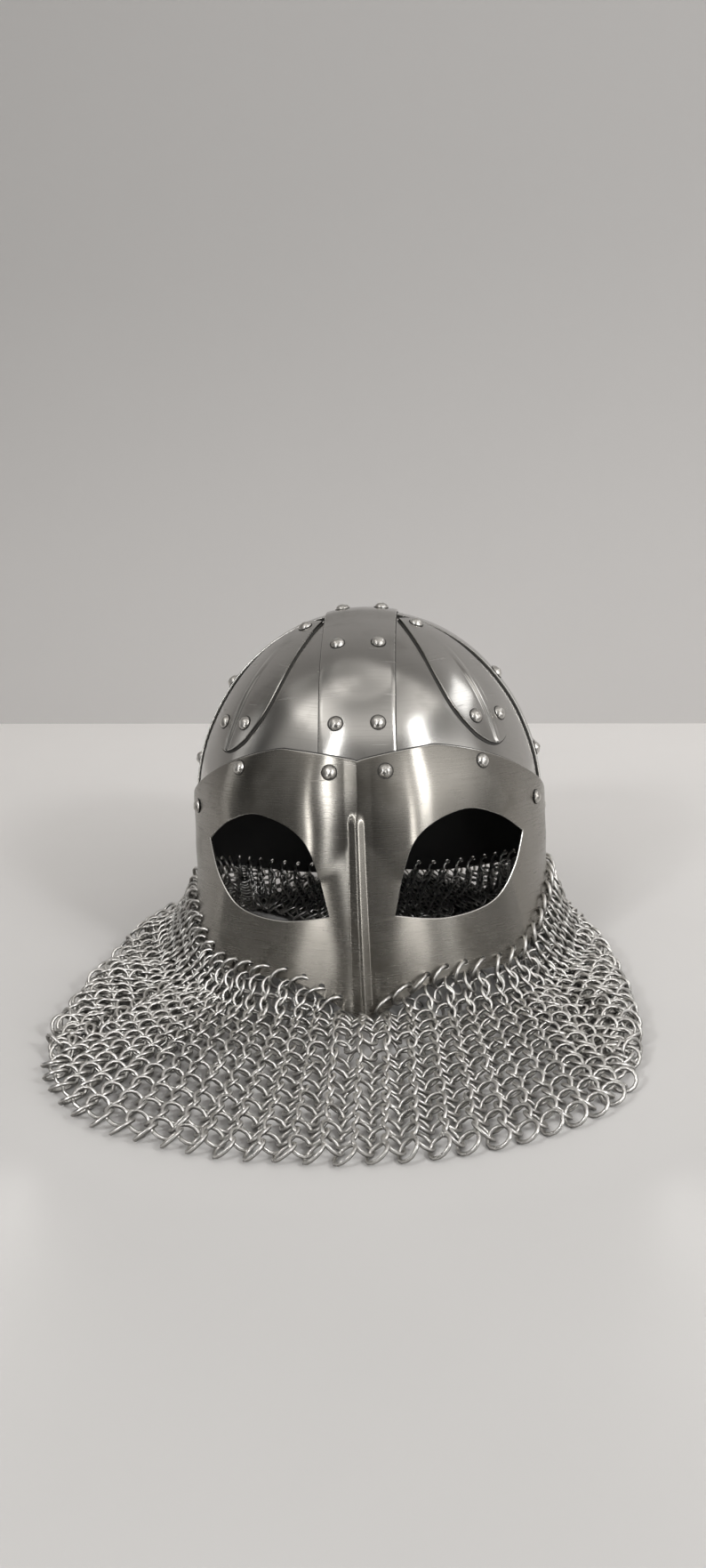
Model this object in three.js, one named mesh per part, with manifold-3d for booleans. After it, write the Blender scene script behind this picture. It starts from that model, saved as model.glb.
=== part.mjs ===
// A riveted steel spangenhelm with a spectacle mask and a skirt of mail. It stands on a floor at
// z = 0, leaning back on its nose and nape, and it looks along -Y.
import * as THREE from 'three';
import Module from 'manifold-3d';

const wasm = await Module();
wasm.setup();

const { lerp, smoothstep, degToRad } = THREE.MathUtils;

// Driving dimensions, in millimetres and degrees. Turns are counted round the head, from 0 at the
// nose to 90 over the wearer's left ear and 180 at the nape. Heights are above the bowl's widest line.
const bowl = { halfWidth: 101.8, front: 108, back: 110.5, height: 112.3 };
const wall = { sideFlare: 3, sideDrop: 47, faceTuck: 12, faceDrop: 121, napeFlare: 9, napeDrop: 68 };
const stance = { lean: 8, bowlCentre: 90.3 };
const steel = { sheet: 1.2, gap: 0.45 };
const panel = { seam: 0.3, crownHole: 84, tuck: 13, cells: { turn: 8, rise: 7 } };
const band = {
  long: { halfWidth: 20, frontEnd: 7, rearEnd: 177, cells: 30 },
  cross: { halfWidth: 18, end: -9, cells: 32 },
  overlapFade: 15, cellsAcross: 4,
};
const leaf = {
  turn: 50, tip: 19.5, top: 71, halfWidth: 25, widest: 0.35, taper: 0.76,
  rib: { halfWidth: 3, rise: 2, fadeFrom: 0.5, fadeTo: 0.8 },
  cells: 7,
};
const brow = { notch: 33, crest: 40, crestTurn: 24, ear: 0, nape: 16 };
const rim = { nose: -105, cheek: -83, ear: -46, nape: -68, noseTurn: 26, cheekTurn: 40, earTurn: 100, napeTurn: 165 };
const mask = {
  end: 89.8, keel: 5, keelHalfWidth: 20, foldStart: 6, fold: 10,
  ridge: { halfWidth: 5, rise: 3.2, top: 12, full: 4 },
  cells: { turn: 14, rise: 9 },
};
const nape = { cells: { turn: 30, rise: 6 } };
const eyelet = { count: 64, radius: 1.5, aboveRim: 6, sides: 5, bareAtNose: 1 };
const rivet = { radius: 3.8, rise: 2.5, sides: 8, seat: 0.25 };
const mail = {
  thickness: 5, clear: 0.6, landing: 0.95, shortestFall: 24, noseHeap: 7,
  hang: { from: 84, to: 97, drop: 3.4 }, tuck: { from: 100, to: 116 },
  skirt: { from: -108, to: 108, columns: 40 }, tucked: { from: 129, to: 231, columns: 12 },
  cells: 6,
};

// Where the lower edge of the mail lies for a turn round the rim: spread before the face and beside the
// ears, and drawn in under the rim behind them.
const mailEdge = [
  { turn: -180, x: 0, y: 15 }, { turn: -158, x: -26, y: 20 }, { turn: -140, x: -48, y: 30 }, { turn: -127, x: -66, y: 44 },
  { turn: -118, x: -90, y: 54 }, { turn: -111, x: -114, y: 60 }, { turn: -102, x: -138, y: 40 }, { turn: -92, x: -150, y: 0 },
  { turn: -81, x: -158, y: -72 }, { turn: -70, x: -163.5, y: -136 }, { turn: -59, x: -154, y: -181 }, { turn: -48, x: -126, y: -219 },
  { turn: -35, x: -88, y: -240 }, { turn: -20, x: -46, y: -251 }, { turn: 0, x: 2, y: -255 }, { turn: 20, x: 48, y: -248 },
  { turn: 35, x: 84, y: -234 }, { turn: 48, x: 114, y: -213 }, { turn: 59, x: 131, y: -180 }, { turn: 70, x: 138, y: -130 },
  { turn: 81, x: 138, y: -76 }, { turn: 92, x: 132, y: -10 }, { turn: 102, x: 122, y: 36 }, { turn: 111, x: 107, y: 58 },
  { turn: 118, x: 88, y: 54 }, { turn: 127, x: 66, y: 44 }, { turn: 140, x: 48, y: 30 }, { turn: 158, x: 26, y: 20 }, { turn: 180, x: 0, y: 15 },
];

// The openings for the eyes, from the outer corner over the brow to the inner corner by the nose,
// and back along the cheek.
const upperLid = [
  { turn: 58, rise: -12 },
  { turn: 45, rise: 0.5 },
  { turn: 31, rise: 5.5 },
  { turn: 16, rise: -8 },
  { turn: 9.2, rise: -47 },
];
const lowerLid = [
  { turn: 9.2, rise: -47 },
  { turn: 24, rise: -51 },
  { turn: 41, rise: -46 },
  { turn: 52, rise: -30 },
  { turn: 58, rise: -12 },
];

const finish = {
  panel: new THREE.MeshStandardMaterial({ color: 0x9b9995, metalness: 1, roughness: 0.32 }),
  strap: new THREE.MeshStandardMaterial({ color: 0xa5a39f, metalness: 1, roughness: 0.28 }),
  mask: new THREE.MeshStandardMaterial({ color: 0xa09e9a, metalness: 1, roughness: 0.3 }),
  rivet: new THREE.MeshStandardMaterial({ color: 0xb4b2ae, metalness: 1, roughness: 0.22 }),
  mail: new THREE.MeshStandardMaterial({ color: 0x8c8c8a, metalness: 1, roughness: 0.38 }),
};

const overlay = steel.gap + steel.sheet;

// The bowl's own surface, on the outside of the four panels: an ellipsoid above its widest line,
// and below it a wall that tucks in to the face, flares at the ears and flares to the nape.
function halfLength(turn) {
  return Math.cos(turn) > 0 ? bowl.front : bowl.back;
}

function onBowl(turn, level) {
  const s = Math.sin(turn), c = Math.cos(turn);
  if (level >= 0) {
    const climb = level / bowl.height;
    return new THREE.Vector3(
      bowl.halfWidth * Math.cos(climb) * s,
      -halfLength(turn) * Math.cos(climb) * c,
      bowl.height * Math.sin(climb),
    );
  }
  const side = bowl.halfWidth + wall.sideFlare * (level / wall.sideDrop) ** 2;
  const ahead = bowl.front - wall.faceTuck * (level / wall.faceDrop) ** 2;
  const behind = bowl.back + wall.napeFlare * (level / wall.napeDrop) ** 2;
  return new THREE.Vector3(side * s, -(c > 0 ? ahead : behind) * c, level);
}

// The distance along the bowl from its widest line up to a given height.
function levelAt(height) {
  return height > 0 ? bowl.height * Math.asin(height / bowl.height) : height;
}

function normalOf(point, u, v, du, dv) {
  const alongU = point(u + du, v).sub(point(u - du, v));
  const alongV = point(u, v + dv).sub(point(u, v - dv));
  return alongU.cross(alongV).normalize();
}

function formed(turn, level, lift) {
  return onBowl(turn, level).addScaledVector(normalOf(onBowl, turn, level, 0.004, 0.4), lift);
}

// Closed bodies from points: a curved sheet with two faces and four edges, and a loop of sections.
function bodyOf(points, faces) {
  const volume = faces.reduce((sum, [a, b, c]) => sum + points[a].dot(points[b].clone().cross(points[c])), 0);
  const geometry = new THREE.BufferGeometry().setFromPoints(points);
  geometry.setIndex(faces.flatMap(([a, b, c]) => (volume > 0 ? [a, b, c] : [a, c, b])));
  return geometry;
}

function sheetBody(columns, rows, pointAt) {
  const points = [], faces = [];
  const index = (i, j, face) => (face * (columns + 1) + i) * (rows + 1) + j;
  for (const face of [0, 1])
    for (let i = 0; i <= columns; i++)
      for (let j = 0; j <= rows; j++) points.push(pointAt(i / columns, j / rows, face));
  const quad = (a, b, c, d) => faces.push([a, b, c], [a, c, d]);
  for (let i = 0; i < columns; i++)
    for (let j = 0; j < rows; j++) {
      quad(index(i, j, 1), index(i + 1, j, 1), index(i + 1, j + 1, 1), index(i, j + 1, 1));
      quad(index(i, j, 0), index(i, j + 1, 0), index(i + 1, j + 1, 0), index(i + 1, j, 0));
    }
  for (let i = 0; i < columns; i++) {
    quad(index(i, 0, 0), index(i + 1, 0, 0), index(i + 1, 0, 1), index(i, 0, 1));
    quad(index(i, rows, 1), index(i + 1, rows, 1), index(i + 1, rows, 0), index(i, rows, 0));
  }
  for (let j = 0; j < rows; j++) {
    quad(index(0, j, 1), index(0, j + 1, 1), index(0, j + 1, 0), index(0, j, 0));
    quad(index(columns, j, 0), index(columns, j + 1, 0), index(columns, j + 1, 1), index(columns, j, 1));
  }
  return bodyOf(points, faces);
}

function solidOf(geometry) {
  return new wasm.Manifold(new wasm.Mesh({
    numProp: 3,
    vertProperties: new Float32Array(geometry.attributes.position.array),
    triVerts: new Uint32Array(geometry.index.array),
  }));
}

function geometryOf(solid) {
  const { vertProperties, triVerts } = solid.getMesh();
  const geometry = new THREE.BufferGeometry();
  geometry.setAttribute('position', new THREE.BufferAttribute(vertProperties, 3));
  geometry.setIndex(new THREE.BufferAttribute(triVerts, 1));
  return geometry;
}

// A punch whose outline is given as turn and level on the bowl, reaching through a plate there.
function punch(rough, from, to) {
  const count = rough.length;
  const flatten = (outline) => outline.map(({ turn, level }) => new THREE.Vector2(turn * bowl.front, level));
  const outline = THREE.ShapeUtils.isClockWise(flatten(rough)) ? [...rough].reverse() : rough;
  const flat = flatten(outline);
  const points = [from, to].flatMap((lift) => outline.map(({ turn, level }) => formed(turn, level, lift)));
  const faces = THREE.ShapeUtils.triangulateShape(flat, []).flatMap(([a, b, c]) => [
    [a, c, b], [a + count, b + count, c + count],
  ]);
  for (let k = 0; k < count; k++) {
    const n = (k + 1) % count;
    faces.push([k, n, n + count], [k, n + count, k + count]);
  }
  return solidOf(bodyOf(points, faces));
}

const helmet = new THREE.Group();
helmet.name = 'helmet';
const part = new THREE.Group();
part.name = 'spangenhelm';
part.add(helmet);

function add(group, name, geometry, material) {
  const mesh = new THREE.Mesh(geometry, material);
  mesh.name = name;
  group.add(mesh);
}

// The edges of the lower plates, as heights above the widest line for a turn in degrees.
function browHeight(turn) {
  const t = Math.abs(turn);
  if (t < brow.crestTurn) return lerp(brow.notch, brow.crest, (t / brow.crestTurn) ** 0.7);
  if (t <= 90) return lerp(brow.crest, brow.ear, ((t - brow.crestTurn) / (90 - brow.crestTurn)) ** 1.5);
  return lerp(brow.ear, brow.nape, smoothstep(t, 90, 150));
}

function rimHeight(turn) {
  const t = Math.abs(turn);
  if (t > 90) return lerp(rim.ear, rim.nape, smoothstep(t, rim.earTurn, rim.napeTurn));
  const nose = (rim.nose - rim.cheek) * Math.max(0, 1 - t / rim.noseTurn) ** 1.6;
  return lerp(rim.cheek, rim.ear, smoothstep(t, rim.cheekTurn, 90)) + nose;
}

// Four panels make the bowl. They meet under the straps and stop short of the crown's middle.
const quarters = [
  { name: 'panel_front_left', start: 0 },
  { name: 'panel_rear_left', start: 90 },
  { name: 'panel_rear_right', start: 180 },
  { name: 'panel_front_right', start: 270 },
];
for (const { name, start } of quarters) {
  const crown = degToRad(panel.crownHole) * bowl.height;
  add(helmet, name, sheetBody(panel.cells.turn, panel.cells.rise, (u, v, face) => {
    const rough = start + 90 * u;
    const low = levelAt(browHeight(rough > 180 ? rough - 360 : rough) - panel.tuck);
    const level = lerp(low, crown, v);
    const seam = panel.seam / (bowl.halfWidth * Math.cos(Math.max(0, level) / bowl.height));
    const turn = degToRad(start) + lerp(seam, Math.PI / 2 - seam, u);
    return formed(turn, level, face ? 0 : -steel.sheet);
  }), finish.panel);
}

// Straps over the bowl. Climb runs from 0 at the widest line over the crown to 180 on the far side.
function onLongBand(across, climb) {
  const k = Math.sqrt(1 - (across / bowl.halfWidth) ** 2);
  const reach = Math.cos(climb) > 0 ? bowl.front : bowl.back;
  return new THREE.Vector3(across, -reach * k * Math.cos(climb), bowl.height * k * Math.sin(climb));
}

function onCrossBand(across, climb) {
  const k = Math.sqrt(1 - (across / (across < 0 ? bowl.front : bowl.back)) ** 2);
  const below = climb < 0 ? climb : Math.PI - climb;
  if (below < 0) {
    const drop = below * bowl.height;
    const side = bowl.halfWidth + wall.sideFlare * (drop / wall.sideDrop) ** 2;
    return new THREE.Vector3((climb < 0 ? side : -side) * k, across, drop);
  }
  return new THREE.Vector3(bowl.halfWidth * k * Math.cos(climb), across, bowl.height * k * Math.sin(climb));
}

function longBandLift(climb) {
  const away = Math.abs(Math.cos(climb)) * bowl.front;
  const start = band.cross.halfWidth + 3;
  return overlay * (1 - smoothstep(away, start, start + band.overlapFade));
}

function formedOnBand(onBand, across, climb, lift) {
  const normal = normalOf(onBand, across, climb, 0.4, 0.004);
  const point = onBand(across, climb);
  return point.addScaledVector(normal.dot(point) < 0 ? normal.negate() : normal, lift);
}

add(helmet, 'crown_band', sheetBody(band.cellsAcross, band.long.cells, (u, v, face) => {
  const climb = degToRad(lerp(band.long.frontEnd, band.long.rearEnd, v));
  const lift = steel.gap + longBandLift(climb) + (face ? steel.sheet : 0);
  return formedOnBand(onLongBand, lerp(-1, 1, u) * band.long.halfWidth, climb, lift);
}), finish.strap);

add(helmet, 'cross_band', sheetBody(band.cellsAcross, band.cross.cells, (u, v, face) => {
  const climb = degToRad(lerp(band.cross.end, 180 - band.cross.end, v));
  const lift = steel.gap + (face ? steel.sheet : 0);
  return formedOnBand(onCrossBand, lerp(-1, 1, u) * band.cross.halfWidth, climb, lift);
}), finish.strap);

// Leaf plates lie on the middle of each panel: a blunt tip below, widest above it, narrow at the crown,
// with a half-round rib that fades out on the way up.
function leafHalfWidth(along) {
  if (along < leaf.widest) return leaf.halfWidth * (1 - (1 - along / leaf.widest) ** 2) ** 0.55;
  return leaf.halfWidth * (1 - leaf.taper * ((along - leaf.widest) / (1 - leaf.widest)) ** 1.3);
}

function onLeaf(turn, climb, across) {
  const centre = new THREE.Vector3(Math.cos(climb) * Math.sin(turn), -Math.cos(climb) * Math.cos(turn), Math.sin(climb));
  const sideways = new THREE.Vector3(Math.cos(turn), Math.sin(turn), 0);
  const way = centre.addScaledVector(sideways, across / bowl.front).normalize();
  return { turn: Math.atan2(way.x, -way.y), level: Math.asin(way.z) * bowl.height };
}

function leafAt(turn, along, across, lift) {
  const climb = degToRad(lerp(leaf.tip, leaf.top, along));
  const place = onLeaf(degToRad(turn), climb, across);
  return formed(place.turn, place.level, lift);
}

const leaves = [
  { name: 'leaf_front_left', turn: leaf.turn },
  { name: 'leaf_rear_left', turn: 180 - leaf.turn },
  { name: 'leaf_rear_right', turn: leaf.turn - 180 },
  { name: 'leaf_front_right', turn: -leaf.turn },
];
const tipStart = 0.015;
for (const { name, turn } of leaves) {
  add(helmet, name, sheetBody(8, leaf.cells, (u, v, face) => {
    const along = lerp(tipStart, 1, v ** 1.4);
    const half = leafHalfWidth(along);
    const foot = Math.min(leaf.rib.halfWidth, 0.4 * half);
    const step = Math.round(u * 8) - 4;
    const reach = Math.abs(step) <= 2 ? (foot * Math.abs(step)) / 2 : lerp(foot, half, (Math.abs(step) - 2) / 2);
    const rise = leaf.rib.rise * Math.max(0, 1 - (reach / foot) ** 2) * (1 - smoothstep(along, leaf.rib.fadeFrom, leaf.rib.fadeTo));
    return leafAt(turn, along, Math.sign(step) * reach, steel.gap + (face ? steel.sheet : 0) + (reach < foot ? rise : 0));
  }), finish.strap);
}

// The spectacle mask and the nape plate lie over the panels, and step up over the ends of the straps.
function plateLift(turn, height, point) {
  const overStrap = (distance, halfWidth) => 1 - smoothstep(distance, halfWidth + mask.foldStart, halfWidth + mask.foldStart + mask.fold);
  const strap = Math.max(overStrap(Math.abs(point.x), band.long.halfWidth), overStrap(Math.abs(point.y), band.cross.halfWidth));
  const step = overlay * strap * smoothstep(height, -40, -20);
  if (Math.abs(turn) > 90) return steel.gap + step;
  const across = Math.abs(point.x);
  const keel = mask.keel * Math.exp(-((across / mask.keelHalfWidth) ** 2)) * (1 - smoothstep(height, -15, 25));
  const ridge = mask.ridge.rise * Math.max(0, 1 - across / mask.ridge.halfWidth) * (1 - smoothstep(height, mask.ridge.full, mask.ridge.top));
  return steel.gap + Math.max(step, keel) + ridge;
}

function onPlate(turn, height, face) {
  const angle = degToRad(turn), level = levelAt(height);
  const lift = plateLift(turn, height, onBowl(angle, level));
  return formed(angle, level, lift + (face ? steel.sheet : 0));
}

function turnForArc(across) {
  return (Math.asin(across / bowl.halfWidth) * 180) / Math.PI;
}

const ridgeSteps = [0, 0.5, 1].map((share) => turnForArc(share * mask.ridge.halfWidth));
const sideSteps = Array.from({ length: mask.cells.turn }, (_, i) => lerp(ridgeSteps[2], mask.end, (i + 1) / mask.cells.turn));
const halfMask = [...ridgeSteps, ...sideSteps];
const maskTurns = [...halfMask.slice(1).reverse().map((turn) => -turn), ...halfMask];

// Eyelets sit at even steps along the rim, clear of the nose and of the joint between the two plates.
const rimSamples = Array.from({ length: 721 }, (_, i) => {
  const turn = i / 4;
  return { turn, point: onPlate(turn, rimHeight(turn), 1) };
});
const rimLengths = [0];
for (let i = 1; i < rimSamples.length; i++)
  rimLengths.push(rimLengths[i - 1] + rimSamples[i].point.distanceTo(rimSamples[i - 1].point));

function turnAlongRim(share) {
  const half = Math.abs(share) <= 0.5 ? share : share - Math.sign(share);
  const target = 2 * Math.abs(half) * rimLengths.at(-1);
  const i = Math.min(rimLengths.length - 2, rimLengths.findLastIndex((length) => length <= target));
  const rest = (target - rimLengths[i]) / (rimLengths[i + 1] - rimLengths[i]);
  return Math.sign(half || 1) * lerp(rimSamples[i].turn, rimSamples[i + 1].turn, rest);
}

function eyeletPunch(turn) {
  const centre = rimHeight(turn) + eyelet.aboveRim;
  const arc = onBowl(degToRad(turn + 0.5), centre).distanceTo(onBowl(degToRad(turn - 0.5), centre));
  const outline = Array.from({ length: eyelet.sides }, (_, k) => {
    const angle = (2 * Math.PI * k) / eyelet.sides;
    return { turn: degToRad(turn + (eyelet.radius * Math.cos(angle)) / arc), level: centre + eyelet.radius * Math.sin(angle) };
  });
  return punch(outline, -6, 14);
}

const eyeletTurns = [];
for (let k = eyelet.bareAtNose; k < eyelet.count / 2; k++) {
  const turn = turnAlongRim((k + 0.5) / eyelet.count);
  eyeletTurns.push(turn, -turn);
}

function eyePunch(side) {
  const lid = (rows) => new THREE.SplineCurve(rows.map(({ turn, rise }) => new THREE.Vector2(turn, rise)));
  const outline = [...lid(upperLid).getPoints(12).slice(0, -1), ...lid(lowerLid).getPoints(10).slice(0, -1)];
  return punch(outline.map(({ x, y }) => ({ turn: degToRad(side * x), level: levelAt(y) })), -6, 14);
}

function lowerPlate(turns, rows, cutters) {
  const sheet = sheetBody(turns.length - 1, rows, (u, v, face) => {
    const turn = turns[Math.round(u * (turns.length - 1))];
    const wrapped = turn > 180 ? turn - 360 : turn;
    return onPlate(turn, lerp(rimHeight(wrapped), browHeight(wrapped), v), face);
  });
  return geometryOf(cutters.reduce((solid, cutter) => solid.subtract(cutter), solidOf(sheet)));
}

const facePunches = [eyePunch(1), eyePunch(-1), ...eyeletTurns.filter((turn) => Math.abs(turn) < 90).map(eyeletPunch)];
add(helmet, 'mask_plate', lowerPlate(maskTurns, mask.cells.rise, facePunches), finish.mask);

const napeTurns = Array.from({ length: nape.cells.turn + 1 }, (_, i) => lerp(180 - mask.end, 180 + mask.end, i / nape.cells.turn));
const napePunches = eyeletTurns.filter((turn) => Math.abs(turn) > 90).map(eyeletPunch);
add(helmet, 'nape_plate', lowerPlate(napeTurns, nape.cells.rise, napePunches), finish.mask);

// Domed rivets. Each row gives where a rivet sits and what it is mirrored across.
function rivetHead() {
  const profile = [[0, 0], [rivet.radius, 0], [rivet.radius * 0.97, rivet.rise * 0.35], [rivet.radius * 0.62, rivet.rise * 0.85], [0, rivet.rise]];
  const points = [], faces = [];
  points.push(new THREE.Vector3(0, 0, 0), new THREE.Vector3(0, 0, rivet.rise));
  for (const [radius, height] of profile.slice(1, -1))
    for (let k = 0; k < rivet.sides; k++) {
      const angle = (2 * Math.PI * k) / rivet.sides;
      points.push(new THREE.Vector3(radius * Math.cos(angle), radius * Math.sin(angle), height));
    }
  const at = (ring, k) => 2 + ring * rivet.sides + (k % rivet.sides);
  for (let k = 0; k < rivet.sides; k++) {
    faces.push([0, at(0, k + 1), at(0, k)], [1, at(2, k), at(2, k + 1)]);
    for (const ring of [0, 1]) faces.push([at(ring, k), at(ring, k + 1), at(ring + 1, k + 1)], [at(ring, k), at(ring + 1, k + 1), at(ring + 1, k)]);
  }
  return bodyOf(points, faces);
}

function addRivet(name, seatAt) {
  const seat = seatAt(0), out = seatAt(1).sub(seat).normalize();
  const geometry = rivetHead();
  geometry.applyQuaternion(new THREE.Quaternion().setFromUnitVectors(new THREE.Vector3(0, 0, 1), out));
  geometry.translate(...seat.addScaledVector(out, rivet.seat).toArray());
  add(helmet, name, geometry, finish.rivet);
}

const sides = [{ side: 'left', sign: 1 }, { side: 'right', sign: -1 }];

const crownRivets = [
  { row: 'brow', climb: 28 }, { row: 'front', climb: 56.5 }, { row: 'crown_front', climb: 85 },
  { row: 'crown_rear', climb: 95 }, { row: 'rear', climb: 123.5 }, { row: 'nape', climb: 152 },
];
for (const { row, climb } of crownRivets)
  for (const { side, sign } of sides)
    addRivet(`rivet_band_${row}_${side}`, (lift) => formedOnBand(onLongBand, sign * 11, degToRad(climb), overlay + longBandLift(degToRad(climb)) + lift));

const crossRivets = [{ row: 'low', climb: 15 }, { row: 'high', climb: 41 }];
for (const { row, climb } of crossRivets)
  for (const { side, sign } of sides)
    for (const { end, across } of [{ end: 'front', across: -10.5 }, { end: 'rear', across: 10.5 }])
      addRivet(`rivet_cross_${row}_${end}_${side}`, (lift) => formedOnBand(onCrossBand, across, degToRad(sign > 0 ? climb : 180 - climb), overlay + lift));

const leafRivets = [{ place: 'front', along: 0.165, across: -11 }, { place: 'rear', along: 0.165, across: 11 }, { place: 'top', along: 0.91, across: 0 }];
for (const { name, turn } of leaves)
  for (const { place, along, across } of leafRivets)
    addRivet(`rivet_${name}_${place}`, (lift) => leafAt(turn, along, Math.sign(turn) * (Math.abs(turn) < 90 ? 1 : -1) * across, overlay + lift));

const plateRivets = [
  { name: 'mask_nose', turn: 8.2, height: 28 }, { name: 'mask_temple', turn: 41, height: 29.5 }, { name: 'mask_ear', turn: 69, height: 4 },
  { name: 'nape_ear', turn: 96, height: -8 }, { name: 'nape_side', turn: 138, height: 3 }, { name: 'nape_middle', turn: 172, height: 5 },
];
for (const { name, turn, height } of plateRivets)
  for (const { side, sign } of sides)
    addRivet(`rivet_${name}_${side}`, (lift) => {
      const base = onPlate(sign * turn, height, 1);
      return base.addScaledVector(normalOf(onBowl, degToRad(sign * turn), levelAt(height), 0.004, 0.4), lift);
    });

// The helmet leans back on its nose and nape.
helmet.rotation.x = -degToRad(stance.lean);
helmet.position.z = stance.bowlCentre;
helmet.updateMatrix();

// The mail skirt hangs from the eyelets, falls to the floor and spreads there. Behind the ears it hangs
// clear below the rim and lies on the floor inside.
const edgeLine = new THREE.SplineCurve(mailEdge.map(({ x, y }) => new THREE.Vector2(x, y)));

function mailEdgeAt(turn) {
  const i = Math.min(mailEdge.length - 2, mailEdge.findLastIndex((knot) => knot.turn <= turn));
  const rest = (turn - mailEdge[i].turn) / (mailEdge[i + 1].turn - mailEdge[i].turn);
  return edgeLine.getPoint((i + rest) / (mailEdge.length - 1));
}

function mailSection(turn) {
  const hanging = smoothstep(Math.abs(turn), mail.hang.from, mail.hang.to);
  const inside = smoothstep(Math.abs(turn), mail.tuck.from, mail.tuck.to);
  const height = rimHeight(turn) + eyelet.aboveRim * (1 - hanging);
  const half = mail.thickness / 2;
  const out = normalOf(onBowl, degToRad(turn), height, 0.004, 0.4);
  const root = onPlate(turn, height, 0);
  root.addScaledVector(out, lerp(steel.sheet + mail.clear + half, -mail.clear - half, inside)).applyMatrix4(helmet.matrix);
  out.transformDirection(helmet.matrix);
  root.z = Math.max(half, root.z - mail.hang.drop * hanging);
  const start = new THREE.Vector2(root.x, root.y), end = mailEdgeAt(turn);
  const run = end.distanceTo(start), way = end.clone().sub(start).normalize();
  const faces = way.dot(new THREE.Vector2(out.x, out.y)) > 0 ? 1 : -1;
  const fall = Math.min(run, Math.max(mail.shortestFall, mail.landing * root.z));
  const bow = lerp(1, 2, smoothstep(run, 8, 30));
  const heap = mail.noseHeap * Math.exp(-((turn / 16) ** 2));
  const middleAt = (travel) => half + (root.z - half) * Math.max(0, 1 - travel / fall) ** bow;
  const inner = [], outer = [];
  for (let k = 0; k <= mail.cells; k++) {
    const travel = run * (k / mail.cells) ** 1.25;
    const low = Math.max(0, travel - 0.4), high = Math.min(run, travel + 0.4);
    const normal = new THREE.Vector2(middleAt(low) - middleAt(high), high - low).normalize().multiplyScalar(faces);
    const bump = heap * Math.sin(Math.PI * Math.min(1, travel / 45));
    const at = (offset) => {
      const plan = start.clone().addScaledVector(way, travel + offset * normal.x);
      return new THREE.Vector3(plan.x, plan.y, Math.max(0, middleAt(travel) + offset * normal.y));
    };
    inner.push(at(-half));
    outer.push(at(half + bump));
  }
  return [inner, outer];
}

for (const [name, { from, to, columns }] of [['mail_skirt', mail.skirt], ['mail_tuck', mail.tucked]]) {
  const turns = Array.from({ length: columns + 1 }, (_, i) => lerp(from, to, i / columns));
  const sections = turns.map((turn) => mailSection(turn > 180 ? turn - 360 : turn));
  add(part, name, sheetBody(columns, mail.cells, (u, v, face) => sections[Math.round(u * columns)][face][Math.round(v * mail.cells)]), finish.mail);
}

// The whole part is set with the middle of its footprint over the origin.
const middle = new THREE.Box3().setFromObject(part, true).getCenter(new THREE.Vector3());
part.position.set(-middle.x, -middle.y, 0);
part.updateMatrixWorld(true);

export default part;
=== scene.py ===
"""A riveted steel spangenhelm with a spectacle mask and a skirt of linked mail, in a pale studio."""

import bpy
import math
import numpy as np
from mathutils import Matrix, Quaternion, Vector


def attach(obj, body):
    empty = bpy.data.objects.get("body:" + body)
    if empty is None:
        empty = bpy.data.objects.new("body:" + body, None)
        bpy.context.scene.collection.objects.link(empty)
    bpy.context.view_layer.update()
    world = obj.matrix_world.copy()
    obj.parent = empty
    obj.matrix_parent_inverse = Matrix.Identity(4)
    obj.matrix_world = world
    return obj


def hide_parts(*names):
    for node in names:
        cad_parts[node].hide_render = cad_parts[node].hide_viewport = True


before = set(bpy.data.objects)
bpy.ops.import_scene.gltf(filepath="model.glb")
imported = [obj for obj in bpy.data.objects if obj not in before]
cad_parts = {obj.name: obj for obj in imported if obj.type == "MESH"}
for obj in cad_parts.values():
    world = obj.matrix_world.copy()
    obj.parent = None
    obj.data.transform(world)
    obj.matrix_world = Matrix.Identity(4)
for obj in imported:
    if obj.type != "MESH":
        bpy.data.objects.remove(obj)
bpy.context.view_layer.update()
bpy.ops.object.select_all(action="DESELECT")

# Sizes in millimetres and degrees, as in the part's source. Turns run from 0 at the nose over 90 at
# the wearer's left ear to 180 at the nape, and heights are above the bowl's widest line.
BOWL_WIDE, BOWL_FRONT, BOWL_BACK, BOWL_TALL = 101.8, 108.0, 110.5, 112.3
SIDE_FLARE, SIDE_DROP = 3.0, 47.0
FACE_TUCK, FACE_DROP = 12.0, 121.0
NAPE_FLARE, NAPE_DROP = 9.0, 68.0
LEAN, BOWL_CENTRE = math.radians(8), 90.3
FOOTPRINT_SHIFT = (12.36, 70.04)
SHEET, GAP = 1.2, 0.45
OVERLAY = SHEET + GAP
LONG_HALF, CROSS_HALF = 20.0, 18.0
LEAF_TURN, LEAF_TIP, LEAF_TOP = 50.0, 19.5, 71.0
LEAF_HALF, LEAF_WIDEST, LEAF_TAPER, LEAF_ROUND = 25.0, 0.35, 0.76, 0.55
LEAF_LONG, LEAF_FOOT_HALF = 101.0, 14.0
LEAF_RIB, LEAF_GROOVE = 0.8, 0.22
BROW_NOSE, BROW_PEAK, BROW_EAR, BROW_NAPE, BROW_PEAK_TURN = 33, 40, 0, 16, 24
RIM_CHEEK, RIM_EAR, RIM_NAPE, RIM_NOSE_DROP, RIM_NOSE_TURN = -83, -46, -68, 22, 26
MASK_END = 89.8
KEEL, KEEL_HALF = 5.0, 20.0
RIDGE_TOP, RIDGE_FOOT, RIDGE_ASIDE = 6.5, -100.0, 1.2
RIDGE_HALVES, RIDGE_RISES = (4.0, 4.8), (1.9, 2.5)
CREASE, CREASE_HALF = 0.5, 7
EYELETS, EYELET_RADIUS, EYELET_UP = 64, 1.5, 6.0
EYE_LIP, EYELET_LIP = 0.35, 0.2
RIVET_RADIUS, RIVET_RISE, RIVET_SEAT = 3.8, 2.5, 0.25
SEAM_LIFT, SEAM_THICK, STRAP_SEAM, LEAF_SEAM = 0.06, 0.25, 0.6, 1.0
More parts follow.
